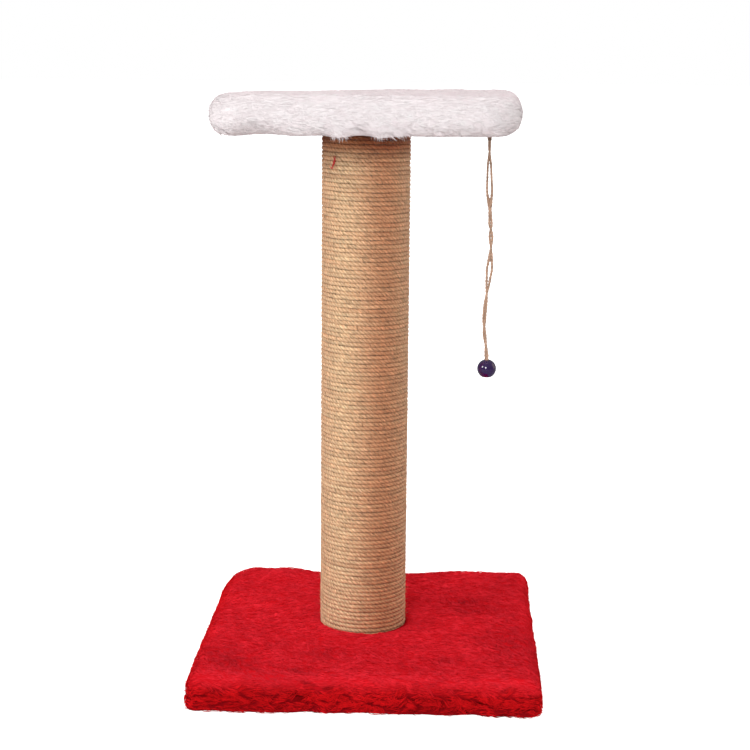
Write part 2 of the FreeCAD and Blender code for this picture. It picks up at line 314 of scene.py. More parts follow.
twineSet = {
    "topKnot": (0.1062, 0.0, 0.4985),
    "route": [(0.0, 0.0, 0.0), (0.0004, 0.0003, -0.033), (0.0018, -0.0003, -0.068), (0.0040, 0.0, -0.101),
              (0.0012, 0.0005, -0.136), (-0.0024, 0.0, -0.174), (0.0018, 0.0, -0.200), (0.0018, 0.0, -0.2203)],
    "length": 0.2208,
    "thick": 0.0042,
    "plyRadius": 0.00120, "plyTwist": 0.0065, "plyLobes": 2, "plySides": 8,
    # distance down the twine, half the width between the plies, turn of the plies, swelling of the plies
    "parting": [(0.000, 0.00045, -0.5, 0.80), (0.008, 0.00055, 0.8, 0.90), (0.014, 0.00070, 2.0, 0.95),
                (0.019, 0.00095, 2.8, 0.95), (0.024, 0.0015, 3.1, 0.90), (0.032, 0.0018, 3.2, 0.90),
                (0.0466, 0.0024, 3.2, 0.95), (0.052, 0.0021, 3.3, 1.05), (0.057, 0.0013, 3.7, 1.35),
                (0.065, 0.0010, 4.6, 1.35), (0.0725, 0.0007, 6.0, 1.0), (0.0786, 0.0013, 6.4, 0.95),
                (0.0846, 0.0008, 8.2, 1.0), (0.0907, 0.0014, 9.4, 1.0), (0.0967, 0.0008, 10.2, 1.0),
                (0.100, 0.0006, 10.9, 0.9), (0.109, 0.0011, 12.0, 1.25), (0.115, 0.0017, 12.5, 1.05),
                (0.121, 0.0025, 12.6, 1.0), (0.130, 0.0016, 12.7, 1.0), (0.137, 0.0012, 12.9, 1.0),
                (0.142, 0.0007, 13.8, 1.0), (0.1546, 0.0009, 15.5, 1.0), (0.170, 0.0009, 16.0, 1.0),
                (0.177, 0.0008, 17.6, 1.0), (0.185, 0.00075, 19.2, 1.0), (0.200, 0.00085, 21.4, 1.05),
                (0.210, 0.00080, 23.0, 1.0), (0.221, 0.00070, 24.6, 0.9)],
    "colour": (0.515, 0.330, 0.232), "wander": 0.20, "specks": 0.04,
    "fuzz": 260, "fuzzLong": (0.001, 0.0032), "fuzzWide": (0.00010, 0.00018), "fuzzPaler": 1.15,
}


def routePoints(name, corners):  # points of a smooth spline that its corners lead
    curve = bpy.data.curves.new(name, "CURVE")
    curve.dimensions = "3D"
    curve.resolution_u = 24
    spline = curve.splines.new("NURBS")
    spline.points.add(len(corners) - 1)
    for point, corner in zip(spline.points, corners):
        point.co = (*corner, 1.0)
    spline.order_u = 3
    spline.use_endpoint_u = True
    holder = bpy.data.objects.new(name, curve)
    mesh = bpy.data.meshes.new_from_object(holder)
    points = np.array([vertex.co for vertex in mesh.vertices], float)
    bpy.data.meshes.remove(mesh)
    bpy.data.objects.remove(holder)
    bpy.data.curves.remove(curve)
    return points


def alongLine(line, step):  # the line's points again, evenly apart, with their distances
    far = np.concatenate([[0], np.cumsum(np.linalg.norm(np.diff(line, axis=0), axis=1))])
    at = np.linspace(0, far[-1], max(3, int(far[-1] / step) + 1))
    return np.stack([np.interp(at, far, line[:, axis]) for axis in range(3)], 1), at


def tubeFaces(count, sides, closed=False):  # quads between rings of points, capped unless the tube meets itself
    ring = np.arange(sides)
    after = (ring + 1) % sides
    rows = np.arange(count if closed else count - 1)
    low = rows[:, None] * sides
    high = ((rows + 1) % count)[:, None] * sides
    faces = np.stack([low + ring, low + after, high + after, high + ring], -1).reshape(-1, 4).tolist()
    if not closed:
        faces += [ring[::-1].tolist(), ((count - 1) * sides + ring).tolist()]
    return faces


def plyTube(centre, radius, twistPitch, seed, closed=False):
    # a yarn round a line: lobed section, twisted, with a little unevenness
    rng = np.random.default_rng(seed)
    count, sides = len(centre), twineSet["plySides"]
    if closed:
        way = unit(np.roll(centre, -1, 0) - np.roll(centre, 1, 0))
    else:
        way = unit(np.gradient(centre, axis=0))
    far = np.concatenate([[0], np.cumsum(np.linalg.norm(np.diff(centre, axis=0), axis=1))])
    side = np.cross(way, np.array([0.0, 1.0, 0.0]))
    weak = np.linalg.norm(side, axis=1) < 0.2
    side[weak] = np.cross(way[weak], np.array([1.0, 0.0, 0.0]))
    side = unit(side)
    other = np.cross(way, side)
    angle = np.arange(sides) / sides * 2 * math.pi
    section = 1.0 + 0.16 * np.cos(twineSet["plyLobes"] * angle)
    uneven = 1.0 + 0.10 * smoothNoise(far * 900, seed) + 0.03 * rng.normal(size=count)
    turn = angle[None, :] + (far / twistPitch * 2 * math.pi)[:, None]
    reach = section[None, :, None] * (radius * uneven)[:, None, None]
    around = np.cos(turn)[..., None] * side[:, None] + np.sin(turn)[..., None] * other[:, None]
    return (centre[:, None] + reach * around).reshape(-1, 3), tubeFaces(count, sides, closed), far


def mapRun(piece, far, sides, aroundScale, alongScale):  # lays the run map along the yarn
    layer = piece.data.uv_layers.new(name="ropeRun")
    index = np.zeros(len(piece.data.loops), np.int64)
    piece.data.loops.foreach_get("vertex_index", index)
    along = np.repeat(far, sides)[index] * alongScale
    around = (index % sides) * aroundScale
    layer.data.foreach_set("uv", np.stack([along, around], 1).astype(np.float32).ravel())


def juteTones(count, seed, wander=0.12, speckShare=0.012, shade=1.0):
    sides = twineSet["plySides"]
    rng = np.random.default_rng(seed)
    slow = np.repeat(1 + wander * smoothNoise(np.arange(count // sides) * 0.11, seed + 1), sides)
    quick = 1 + 0.10 * rng.normal(size=count)
    tones = np.array(twineSet["colour"]) * shade * (slow * quick)[:, None]
    specks = rng.random(count) < speckShare
    tones[specks] *= np.array([0.42, 0.34, 0.30])
    return np.clip(tones, 0.01, 0.95)


def yarnPiece(name, points, faces, far, tones):
    piece = meshPiece(name, points, faces, finishes["juteTwine"])
    paintPoints(piece, "ropeTone", tones)
    mapRun(piece, far, twineSet["plySides"], 1 / twineSet["plySides"], 120.0)
    return piece


def spikes(name, roots, ways, lengths, widths, tones, material, bend=0.35, seed=1):
    # loose fibres: closed three-sided spindles that bend once
    rng = np.random.default_rng(seed)
    count = len(roots)
    side = unit(np.cross(ways, rng.normal(size=(count, 3))))
    other = np.cross(ways, side)
    middle = roots + ways * lengths[:, None] * 0.45
    tip = roots + ways * lengths[:, None] + side * (lengths * bend * rng.normal(size=count))[:, None]
    ring = [middle + (math.cos(a) * side + math.sin(a) * other) * widths[:, None] / 2 for a in (0, 2.0944, 4.1888)]
    points = np.stack([roots, *ring, tip], 1)
    pattern = np.array([(0, 2, 1), (0, 3, 2), (0, 1, 3), (4, 1, 2), (4, 2, 3), (4, 3, 1)])
    faces = (np.arange(count)[:, None, None] * 5 + pattern[None]).reshape(-1, 3)
    piece = meshPiece(name, points.reshape(-1, 3), faces, material)
    paintPoints(piece, "ropeTone", np.repeat(tones, 5, axis=0))
    return piece


def makeTwine():
    s = twineSet
    corners = [tuple(np.add(s["topKnot"], step)) for step in s["route"]]
    line, far = alongLine(routePoints("twineRoute", corners), 0.0008)
    table = np.array(s["parting"])
    soft = [np.interp(far, table[:, 0], table[:, column]) for column in (1, 2, 3)]
    half, turn, swelling = [np.convolve(np.pad(row, 3, mode="edge"), np.full(7, 1 / 7), mode="valid") for row in soft]
    way = unit(np.gradient(line, axis=0))
    across = unit(np.array([1.0, 0, 0]) - way * way[:, :1])
    deep = np.cross(way, across)
    points, faces, tones, runs = [], [], [], []
    for ply in range(2):
        angle = turn + math.pi * ply
        centre = line + half[:, None] * (np.cos(angle)[:, None] * across + 0.6 * np.sin(angle)[:, None] * deep)
        made, joined, run = plyTube(centre, s["plyRadius"] * swelling, s["plyTwist"], 31 + ply)
        start = sum(len(p) for p in points)
        points.append(made)
        faces += [[corner + start for corner in face] for face in joined]
        tones.append(juteTones(len(made), 41 + ply, s["wander"], s["specks"]))
        runs.append(run)
    surface = np.concatenate(points)
    twine = yarnPiece("twine", surface, faces, np.concatenate(runs), np.concatenate(tones))
    rng = np.random.default_rng(53)
    count = s["fuzz"]
    roots = surface[rng.integers(0, len(surface), count)]
    ways = unit(rng.normal(size=(count, 3)) + np.array([0, 0, -0.6]))
    long, wide = rng.uniform(*s["fuzzLong"], count), rng.uniform(*s["fuzzWide"], count)
    tones = np.tile(np.array(s["colour"]) * s["fuzzPaler"], (count, 1))
    fuzz = spikes("twineFuzz", roots, ways, long, wide, tones, finishes["juteTwine"], 0.4, 54)
    return twine, fuzz, line


twine, twineFuzz, twineLine = makeTwine()


# knots at both ends of the twine, and the bight through the screw eye

knotSet = {
    "topSize": 0.0022, "topShade": 0.45,  # the knot in the pit is small, and darkened by painted shade
    "lowSize": 0.0032, "lowShade": 1.0,
    "lowPlace": (0.1080, 0.0, 0.2782),
    "eyeWire": (0.1062, 0.0, 0.5045),
    "bightRadius": 0.0009,
}


def knotLine(centre, size, tube):  # a tight trefoil, the look of an overhand knot
    turn = np.linspace(0, 2 * math.pi, 73)[:-1]
    wide = (size - tube) / 3.0
    x = (np.sin(turn) + 2 * np.sin(2 * turn)) * wide
    y = (np.cos(turn) - 2 * np.cos(2 * turn)) * wide
    z = -np.sin(3 * turn) * size * 0.55
    return np.array(centre) + np.stack([x, y, z], 1)


def makeKnot(name, centre, size, shade, seed):
    tube = size * 0.40
    points, faces, far = plyTube(knotLine(centre, size, tube), tube, 0.007, seed, closed=True)
    return yarnPiece(name, points, faces, far, juteTones(len(points), seed, 0.1, 0.03, shade))


def makeBight():
    left = [(-0.0006, -0.0062), (-0.0018, -0.0036), (-0.0031, -0.0002), (-0.0024, 0.0030)]
    loop = left + [(0.0, 0.0036)] + [(-x, z) for x, z in left[::-1]]
    corners = [tuple(np.add(knotSet["eyeWire"], (x, 0.0, z))) for x, z in loop]
    line = alongLine(routePoints("bightRoute", corners), 0.0005)[0]
    points, faces, far = plyTube(line, knotSet["bightRadius"] * 0.9, 0.006, 61)
    return yarnPiece("twineBight", points, faces, far, juteTones(len(points), 62))


topKnot = makeKnot("twineTopKnot", twineSet["topKnot"], knotSet["topSize"], knotSet["topShade"], 63)
lowKnot = makeKnot("twineLowKnot", knotSet["lowPlace"], knotSet["lowSize"], knotSet["lowShade"], 64)
twineBight = makeBight()

# the bead, turned from one profile

beadSet = {
    "centre": (0.1080, 0.0, 0.28296),
    "radius": 0.009,
    "bore": 0.0024,
    "mouth": 0.0038,
    "lip": 0.0005,
    "steps": 64,
}


def makeBead():
    radius, bore, mouth, lip = (beadSet[key] for key in ("radius", "bore", "mouth", "lip"))
    lowAngle = -math.acos((mouth + lip) / radius)
    highAngle = math.acos((bore + lip) / radius)
    arc = [(radius * math.cos(a), radius * math.sin(a)) for a in np.linspace(lowAngle, highAngle, 26)]
    top, low = arc[-1][1], arc[0][1]
    knotTop = low + 0.0064
    inner = [(bore + lip * 0.3, top - lip * 0.15), (bore, top - lip), (bore, knotTop), (mouth, knotTop - 0.0026),
             (mouth, low + lip), (mouth + lip * 0.3, low + lip * 0.15)]
    bpy.ops.mesh.primitive_circle_add(vertices=3, radius=0.001, location=beadSet["centre"])
    bead = bpy.context.object
    bead.name = "bead"
    bpy.ops.object.mode_set(mode="EDIT")
    bpy.ops.mesh.select_all(action="SELECT")
    bpy.ops.mesh.delete(type="VERT")
    shape = bmesh.from_edit_mesh(bead.data)
    corners = [shape.verts.new((r, 0.0, z)) for r, z in arc + inner]
    edges = [shape.edges.new((a, b)) for a, b in zip(corners, corners[1:] + corners[:1])]
    for edge in edges:
        edge.select = True
    bmesh.update_edit_mesh(bead.data)
    bpy.ops.mesh.spin(steps=beadSet["steps"], angle=2 * math.pi, center=beadSet["centre"], axis=(0, 0, 1))
    bpy.ops.mesh.select_all(action="SELECT")
    bpy.ops.mesh.remove_doubles(threshold=0.00002)
    bpy.ops.mesh.normals_make_consistent(inside=False)
    bpy.ops.object.mode_set(mode="OBJECT")
    bakePlace()
    bpy.ops.object.shade_smooth_by_angle(angle=math.radians(40))
    giveFinish(bead.data, "beadLacquer")
    return bead


bead = makeBead()
print("toy made, bead triangles:", len(bead.data.polygons) * 2)


# rope wound on the post, three strands laid into one rope

ropeSet = {
    "axisX": -0.0075,
    "centreRadius": 0.0395,
    "pitch": 0.00395,
    "low": 0.02405, "high": 0.51195,
    "outReach": 0.00194, "sideReach": 0.00227,
    "lobe": (-26.0, 26.0, 60.0), "lobeReach": (1.0, 1.0, 0.66),  # two points on a strand and one between strands
    "lay": 0.0122,
    "ringsPerLay": 9,
    "pieces": ("ropeLower", "ropeMiddle", "ropeUpper"),
    # the darkening between the strands is painted shade
    "colour": (0.701, 0.417, 0.235), "valleyShade": (0.74, 0.63, 0.56),
    "pinker": (0.0, -0.06, -0.08),
    "sideLightAndShade": (-0.135, -0.30, -0.37),  # painted shade at the right of the post, and as much painted light at the left
    "paler": (0.06, 0.11, 0.14),  # towards the top, most at the right
    "underPerchShade": (-0.50, -0.80, -0.92), "underPerchShadeHigh": 0.026,  # painted shade on the turns under the perch
    # and deeper painted shade right under the perch
    "shaded": (-0.62, -0.62, -0.62), "shadeHigh": 0.0150,
    "specks": [(0.018, (0.42, 0.33, 0.28)), (0.03, (1.18, 1.22, 1.3))],
    "hairs": 6500, "hairLong": (0.0015, 0.006), "hairWide": (0.00012, 0.00024),
    # a few red fibres that the rope has picked up
    "caught": 24, "fleck": (-0.0360, -0.0312, 0.4750), "fleckColour": (0.70, 0.045, 0.045), "fleckWide": 0.0012,
}


def ropeState(turns):  # centre of the rope after so many turns, with small unevenness
    s = ropeSet
    radius = s["centreRadius"] + 0.00010 * smoothNoise(turns * 5.1, 71) + 0.00006 * smoothNoise(turns * 21.0, 72)
    level = s["low"] + s["pitch"] * turns
    level += 0.00018 * smoothNoise(turns * 2.6, 73) + 0.00024 * smoothNoise(turns * 34.0, 70)
    angle = math.pi / 2 - 2 * math.pi * turns
    centre = np.stack([s["axisX"] + radius * np.cos(angle), radius * np.sin(angle), level], 1)
    return centre, np.stack([np.cos(angle), np.sin(angle), np.zeros(len(turns))], 1)


def ropeNoise(count, sides, seed):  # uneven fibres, a little alike from ring to ring
    rough = np.random.default_rng(seed).normal(size=(count + 1, sides))
    return (rough[1:] + rough[:-1]) / 1.41


def windRope():
    s = ropeSet
    turnLength = 2 * math.pi * s["centreRadius"]
    ringStep = s["lay"] / s["ringsPerLay"]
    rings = int((s["high"] - s["low"]) / s["pitch"] * turnLength / ringStep)
    section = np.concatenate([np.radians(s["lobe"]) + share * 2 * math.pi / 3 for share in range(3)])
    sides = len(section)
    made = []
    for part, name in enumerate(s["pieces"]):
        index = np.arange(rings * part // 3, rings * (part + 1) // 3 + 1)
        count = len(index)
        turns = index * ringStep / turnLength
        centre, outward = ropeState(turns)
        way = unit(np.stack([outward[:, 1], -outward[:, 0], np.full(count, 0.0159)], 1))
        other = np.cross(way, outward)
        layTurn = index * 2 * math.pi / s["ringsPerLay"] + 1.1 * smoothNoise(turns * 9.0, 74)
        spin = (section[None, :] + layTurn[:, None])[..., None]
        thick = 1 + 0.05 * smoothNoise(turns * 14.0, 75)
        size = thick[:, None] * np.tile(s["lobeReach"], 3) * (1 + 0.05 * ropeNoise(count, sides, 93 + part))
        for strand in range(3):  # each strand swells and thins by itself
            size[:, strand * 3:strand * 3 + 2] *= (1 + 0.06 * smoothNoise(turns * 31.0, 84 + strand))[:, None]
        around = (s["outReach"] * np.cos(spin) * outward[:, None] + s["sideReach"] * np.sin(spin) * other[:, None])
        points = (centre[:, None] + size[..., None] * around).reshape(-1, 3)
        piece = meshPiece(name, points, tubeFaces(count, sides), finishes["juteRope"])
        paintPoints(piece, "ropeTone", ropeTones(index, turns, sides, 76 + part))
        mapRun(piece, index * ringStep, sides, 0.11, 90.0)
        made.append(piece)
    return made


def ropeTones(index, turns, sides, seed):
    s = ropeSet
    rng = np.random.default_rng(seed)
    slow = 1 + 0.10 * smoothNoise(turns * 7.3, 81) + 0.06 * smoothNoise(turns * 1.1, 82)
    quick = 1 + 0.10 * ropeNoise(len(index), sides, seed + 20)
    strand = np.repeat([1.05, 0.97, 1.0], 3)[None, :]
    # painted shade in the hollow between each two strands
    hollow = np.tile([(1.0, 1.0, 1.0), (1.0, 1.0, 1.0), s["valleyShade"]], (3, 1))
    tones = np.array(s["colour"]) * hollow * (slow[:, None] * quick * strand)[..., None]
    for part in range(3):  # light and dark lengths along each strand
        tones[:, part * 3:part * 3 + 3] *= (1 + 0.11 * smoothNoise(turns * 90.0, 86 + part))[:, None, None]
    side = np.sin(2 * math.pi * turns)  # -1 at the left of the post, 1 at the right
    close = s["high"] - s["low"] - s["pitch"] * turns
    changes = {
        "pinker": smoothNoise(turns * 4.3, 83),
        "sideLightAndShade": side * (1 - side ** 2) ** 1.5 / 0.325,  # painted shade at the right and painted light at the left, at most 1, half way to the edge
        "paler": np.clip(0.7 + 0.9 * side, 0, 1.2) * (1 - 2 * close / (s["high"] - s["low"])),
        # painted shade on the turns under the perch, deepest right under it
        "underPerchShade": np.exp(-(close / s["underPerchShadeHigh"]) ** 4),
        "shaded": np.exp(-(close / s["shadeHigh"]) ** 6),
    }
    for change, share in changes.items():
        tones *= 1 + share[:, None, None] * np.array(s[change])
    for share, change in s["specks"]:
        tones[rng.random((len(index), sides)) < share] *= np.array(change)
    return np.clip(tones, 0.01, 0.95).reshape(-1, 3)


def ropeHairs():
    s = ropeSet
    rng = np.random.default_rng(91)
    count = s["hairs"]
    turns = rng.uniform(2.5, (s["high"] - s["low"]) / s["pitch"] - 2.5, count)
    centre, outward = ropeState(turns)
    upright = np.array([0.0, 0.0, 1.0])
    along = np.cross(outward, upright)
    spin = rng.uniform(-1.0, 1.0, count)[:, None]
    roots = centre + 0.0018 * (np.cos(spin) * outward + np.sin(spin) * upright)
    sign = np.where(rng.random(count) < 0.5, -1.0, 1.0)[:, None]
    lift, tilt = rng.uniform(0.08, 0.75, (count, 1)), rng.normal(0, 0.35, (count, 1))
    ways = unit(along * sign + outward * lift + upright * tilt)
    tones = np.array(s["colour"]) * rng.uniform(0.7, 1.25, (count, 1))
    caught = slice(0, s["caught"])
    roots[caught] = np.array(s["fleck"]) + rng.normal(0, 1, (s["caught"], 1)) * np.array([0.0007, 0.0, 0.0022])
    ways[caught] = unit(np.array([0.25, -0.1, 1.0]) + rng.normal(0, 0.3, (s["caught"], 3)))
    tones[caught] = s["fleckColour"]
    wide = rng.uniform(*s["hairWide"], count)
    wide[caught] = s["fleckWide"]
    long = rng.uniform(*s["hairLong"], count)
    return spikes("ropeHairs", roots, ways, long, wide, tones, finishes["juteRope"], 0.35, 92)


ropePieces = windRope()
ropeHair = ropeHairs()
print("rope wound, triangles:", sum(len(piece.data.polygons) for piece in ropePieces) * 2)


# plush covers: a backing that fits the board, and pile that grows from it

perchSet = {
    "x": -0.0031,
    "side": 0.2676, "low": 0.5062, "high": 0.5402, "corner": 0.0290, "topRound": 0.0165, "lowRound": 0.0165,
    "boardSide": 0.2504, "boardLow": 0.5138, "boardHigh": 0.5322, "boardCorner": 0.0202,
    "postRoom": 0.04165, "postCut": (0.45, 0.520),
    "eyeRoom": (0.1092, 0.0, 0.4978), "eyeRoomSize": (0.0082, 0.0064, 0.030), "eyeBare": (0.0090, 0.0072),
    "flat": (0.459, 0.459), "flatArea": 0.15,
    "voxel": 0.003, "wave": 0.034, "swell": 0.0018, "lowest": 0.5, "footOut": 0.0, "footCorner": 0.0,
    # the backing gets painted shade below deepHigh and round the post
    "finish": "whiteBacking", "colour": (0.85, 0.79, 0.797), "deepShade": 0.98, "deepHigh": 0.516,
    # place, size and move of each bulge or hollow
    "dents": [(-0.138, -0.110, 0.524, 0.034, -0.0018, 0, 0), (-0.138, -0.030, 0.524, 0.040, -0.0014, 0, 0),
              (-0.100, 0.120, 0.538, 0.055, 0, 0, -0.0028), (-0.085, 0.010, 0.541, 0.060, 0, 0, -0.0014),
              (-0.118, -0.112, 0.508, 0.011, 0, 0, -0.0014), (-0.097, -0.128, 0.508, 0.010, 0, 0, 0.0040),
              (-0.060, -0.128, 0.508, 0.010, 0, 0, -0.0014), (-0.025, -0.128, 0.508, 0.008, 0, 0, -0.0034),
              (-0.006, -0.128, 0.508, 0.007, 0, 0, 0.0026), (0.010, -0.128, 0.508, 0.007, 0, 0, -0.0036),
              (0.0275, -0.128, 0.508, 0.005, 0, 0, -0.0018), (0.055, -0.128, 0.508, 0.009, 0, 0, -0.0010),
              (0.095, -0.128, 0.508, 0.010, 0, 0, 0.0010), (0.118, -0.126, 0.508, 0.010, 0, 0, 0.0016),
              (0.127, 0.0, 0.537, (0.010, 0.080, 0.010), 0.0028, 0, 0.0034)],
}
baseSet = {
    "x": 0.0,
    "side": 0.3168, "low": 0.0006, "high": 0.0312, "corner": 0.0090, "topRound": 0.0150, "lowRound": 0.0030,
    "boardSide": 0.3004, "boardLow": 0.0028, "boardHigh": 0.0212, "boardCorner": 0.0062,
    "opening": 0.220, "openingCut": (-0.01, 0.010),
    "stapleReach": 0.130, "stapleSteps": (-0.110, -0.055, 0.0, 0.055, 0.110), "stapleRoom": (0.0108, 0.0022, 0.0040),
    "postRoom": 0.04165, "postCut": (0.022, 0.05),
    "flat": (0.416, 0.416),
    "voxel": 0.003, "wave": 0.030, "swell": 0.0020, "lowest": 0.0006, "footOut": 0.0092, "footCorner": 0.65,
    # the backing gets painted shade below deepHigh and round the post
    "finish": "redBacking", "colour": (0.64, 0.008, 0.015), "deepShade": 0.35, "deepHigh": 0.025,
    "dents": [(-0.130, -0.105, 0.031, 0.018, 0, 0, -0.0012), (-0.045, -0.118, 0.031, 0.014, 0, 0, -0.0010),
              (0.092, 0.050, 0.031, 0.013, 0, 0, -0.0010), (-0.046, -0.158, 0.008, 0.008, 0, 0.0018, 0),
              (-0.006, -0.158, 0.020, 0.007, 0, 0.0014, 0), (0.035, -0.158, 0.021, 0.008, 0, 0.0014, 0),
              (0.095, -0.158, 0.009, 0.010, 0, 0.0018, 0), (-0.154, 0.148, 0.028, 0.012, 0.0015, -0.001, -0.0035),
              (-0.1335, 0.150, 0.031, 0.012, 0, 0.0010, 0.0036), (-0.094, 0.150, 0.031, 0.018, 0, 0.0010, 0.0046),
              (0.088, 0.150, 0.031, 0.028, 0, 0.0010, 0.0044), (0.117, 0.150, 0.031, 0.013, 0, 0, 0.0018),
              (0.149, 0.148, 0.029, 0.012, 0.0030, 0.0010, 0.0026)],
}


def softSlab(name, x, side, low, high, corner, topRound=0.0, lowRound=0.0):
    clearSelection()
    bpy.ops.mesh.primitive_cube_add(size=1, location=(x, 0, (low + high) / 2))
    slab = bpy.context.object
    slab.name = name
    slab.scale = (side, side, high - low)
    bakePlace()
    bpy.ops.object.mode_set(mode="EDIT")
    bpy.ops.mesh.select_mode(type="EDGE")
    pickEdges(slab, lambda a, b: abs(a.z - b.z) > (high - low) / 2)
    bpy.ops.mesh.bevel(offset=corner, segments=8, affect="EDGES")
    if topRound:
        pickEdges(slab, lambda a, b: min(a.z, b.z) > high - 1e-5)
        bpy.ops.mesh.bevel(offset=topRound, segments=7, affect="EDGES")
    if lowRound:
        pickEdges(slab, lambda a, b: max(a.z, b.z) < low + 1e-5)
        bpy.ops.mesh.bevel(offset=lowRound, segments=7, affect="EDGES")
    bpy.ops.object.mode_set(mode="OBJECT")
    return slab


def swellSkin(skin, s):  # soft hills and hollows of a stuffed pile
    makeActive(skin)
    skin.data.remesh_voxel_size = s["voxel"]
    bpy.ops.object.voxel_remesh()
    cloud = bpy.data.textures.new(skin.name + "Swell", "CLOUDS")
    cloud.noise_scale = s["wave"]
    cloud.noise_depth = 2
    swell = skin.modifiers.new("swell", "DISPLACE")
    swell.texture = cloud
    swell.texture_coords = "LOCAL"
    swell.strength = s["swell"]
    swell.mid_level = 0.5
    smooth = skin.modifiers.new("smooth", "SMOOTH")
    smooth.factor = 0.5
    smooth.iterations = 5
    applyModifiers(skin)
    places = readPlaces(skin)
    moved = np.zeros(places.shape)
    for x, y, z, size, *move in s["dents"]:
        near = np.exp(-(((places - np.array((x, y, z))) / np.array(size)) ** 2).sum(1) / 2)
        moved += near[:, None] * np.array(move)
    places += moved
    corner = 1 + s["footCorner"] * fade(places[:, 0], 0.0, -0.16) * (places[:, 1] < 0)
    for axis, out in ((0, 0.2 * s["footOut"]), (1, s["footOut"] * corner)):  # a foot on the floor, most at front left
        outer = fade(np.abs(places[:, axis]), s["side"] / 2 - 0.012, s["side"] / 2)
        places[:, axis] += np.sign(places[:, axis]) * outer * out * fade(places[:, 2], 0.008, 0.0)
    places[:, 2] = np.maximum(places[:, 2], s["lowest"])
    skin.data.vertices.foreach_set("co", places.astype(np.float32).ravel())
    skin.data.update()


def postCutter(radius, low, high):
    clearSelection()
    bpy.ops.mesh.primitive_cylinder_add(vertices=96, radius=radius, depth=high - low,
                                        location=(ropeSet["axisX"], 0, (low + high) / 2))
    return bpy.context.object


def sampleSurface(slab, count, weightOf, seed):  # roots and normals spread over a slab
    rng = np.random.default_rng(seed)
    mesh = slab.data
    mesh.calc_loop_triangles()
    places, soft = readPlaces(slab), readPlaces(slab, "normal")
    corners = np.zeros(len(mesh.loop_triangles) * 3, np.int32)
    mesh.loop_triangles.foreach_get("vertices", corners)
    corners = corners.reshape(-1, 3)
    a, b, c = (places[corners[:, k]] for k in range(3))
    flat = np.cross(b - a, c - a)
    size = np.linalg.norm(flat, axis=1)
    weight = size * weightOf((a + b + c) / 3, unit(flat))
    pick = rng.choice(len(size), count, p=weight / weight.sum())
    u, v = rng.random((2, count, 1))
    u, v = np.where(u + v > 1, 1 - u, u), np.where(u + v > 1, 1 - v, v)
    roots = a[pick] + u * (b[pick] - a[pick]) + v * (c[pick] - a[pick])
    normals = soft[corners[pick, 0]] * (1 - u - v) + soft[corners[pick, 1]] * u + soft[corners[pick, 2]] * v
    return roots, unit(normals)


def combPile(skin, roots, normals, lay, length, midHigh, tipHigh, scatter, clump, tuftSize, seed, large):
    # lays each strand along the skin, then draws neighbours together into tufts
    rng = np.random.default_rng(seed)
    count = len(roots)
    chance = 1 - 0.65 * large
    guides = rng.choice(count, int(count / tuftSize), replace=False, p=chance / chance.sum())
    tree = KDTree(len(guides))
    for slot, place in enumerate(guides):
        tree.insert(roots[place], slot)
    tree.balance()
    owner = guides[np.array([tree.find(root)[1] for root in roots])]
    swing = rng.normal(0, 1, count) * scatter
    swing = 0.5 * swing + 0.9 * swing[owner]
    side = np.cross(normals, lay)
    lay = unit(lay * np.cos(swing)[:, None] + side * np.sin(swing)[:, None])
    length = length * (1 + 0.15 * rng.normal(size=count)) * (1 + 0.08 * rng.normal(size=count)[owner])
    surface = BVHTree.FromPolygons([v.co for v in skin.data.vertices], [f.vertices for f in skin.data.polygons])
    path = np.repeat(roots[:, None], 3, axis=1)
    path[:, 0] -= normals * 0.0008
    gap = roots - roots[owner]
    facing = normals.copy()
    for k, share, high in ((1, 0.5, midHigh), (2, 1.0, tipHigh)):
        laid = roots + lay * (length * share)[:, None]
        drawn = laid[owner] + gap * (1 - 0.75 * share)
        laid += (clump * share)[:, None] * (drawn - laid)
        high = high * (1 + 0.25 * rng.normal(size=count) + 0.20 * rng.normal(size=count)[owner])
        for slot in range(count):
            place, normal = surface.find_nearest(laid[slot])[:2]
            path[slot, k] = place + normal * high[slot]
            if k == 1:
                facing[slot] = normal
    return path, facing, owner


def flowLay(roots, normals, middle, half, main):  # the main lay, led round the rounded ends
    puffed = unit(normals + (roots - middle) / half * np.array([0.0, 0.7, 0.25]))
    lay = main - (main * puffed).sum(1, keepdims=True) * puffed
    lay += 0.35 * np.abs(normals[:, :1]) * np.cross(np.array([0.0, 1.0, 0.0]), normals)
    return unit(lay - (lay * normals).sum(1, keepdims=True) * normals)


def keepClear(path, floor, postRadius, low, high):  # strands lie on the floor and lean off the post
    path[..., 2] = np.maximum(path[..., 2], floor)
    x = path[..., 0] - ropeSet["axisX"]
    y = path[..., 1]
    far = np.maximum(np.hypot(x, y), 1e-6)
    near = (far < postRadius) & (path[..., 2] > low) & (path[..., 2] < high)
    push = np.where(near, postRadius / far, 1.0)
    path[..., 0] = ropeSet["axisX"] + x * push
    path[..., 1] = y * push
    return path


def strandMesh(name, path, facing, width, roll, tones, material):
    # each strand is a closed spindle, flat on its outer side and bent once
    start, middle, tip = path[:, 0], path[:, 1], path[:, 2]
    way = unit(tip - start)
    side = unit(np.cross(way, facing))
    up = np.cross(side, way)
    side = side * np.cos(roll)[:, None] + up * np.sin(roll)[:, None]
    half = side * (width / 2)[:, None]
    deep = np.cross(side, way) * (width * 0.5)[:, None]
    points = np.stack([start, middle + half, middle - half, middle - deep, tip], 1)
    pattern = np.array([(0, 1, 2), (4, 2, 1), (0, 2, 3), (0, 3, 1), (4, 1, 3), (4, 3, 2)])
    faces = (np.arange(len(path))[:, None, None] * 5 + pattern[None]).reshape(-1, 3)
    piece = meshPiece(name, points.reshape(-1, 3), faces, material, smooth=False)
    # painted shade at the root and on the underside of each strand, painted light at the tip
    shade = np.array([0.93, 1.0, 1.0, 0.93, 1.02])
    paintPoints(piece, "pileTone", np.clip(tones[:, None] * shade[None, :, None], 0, 0.98).reshape(-1, 3))
    return piece


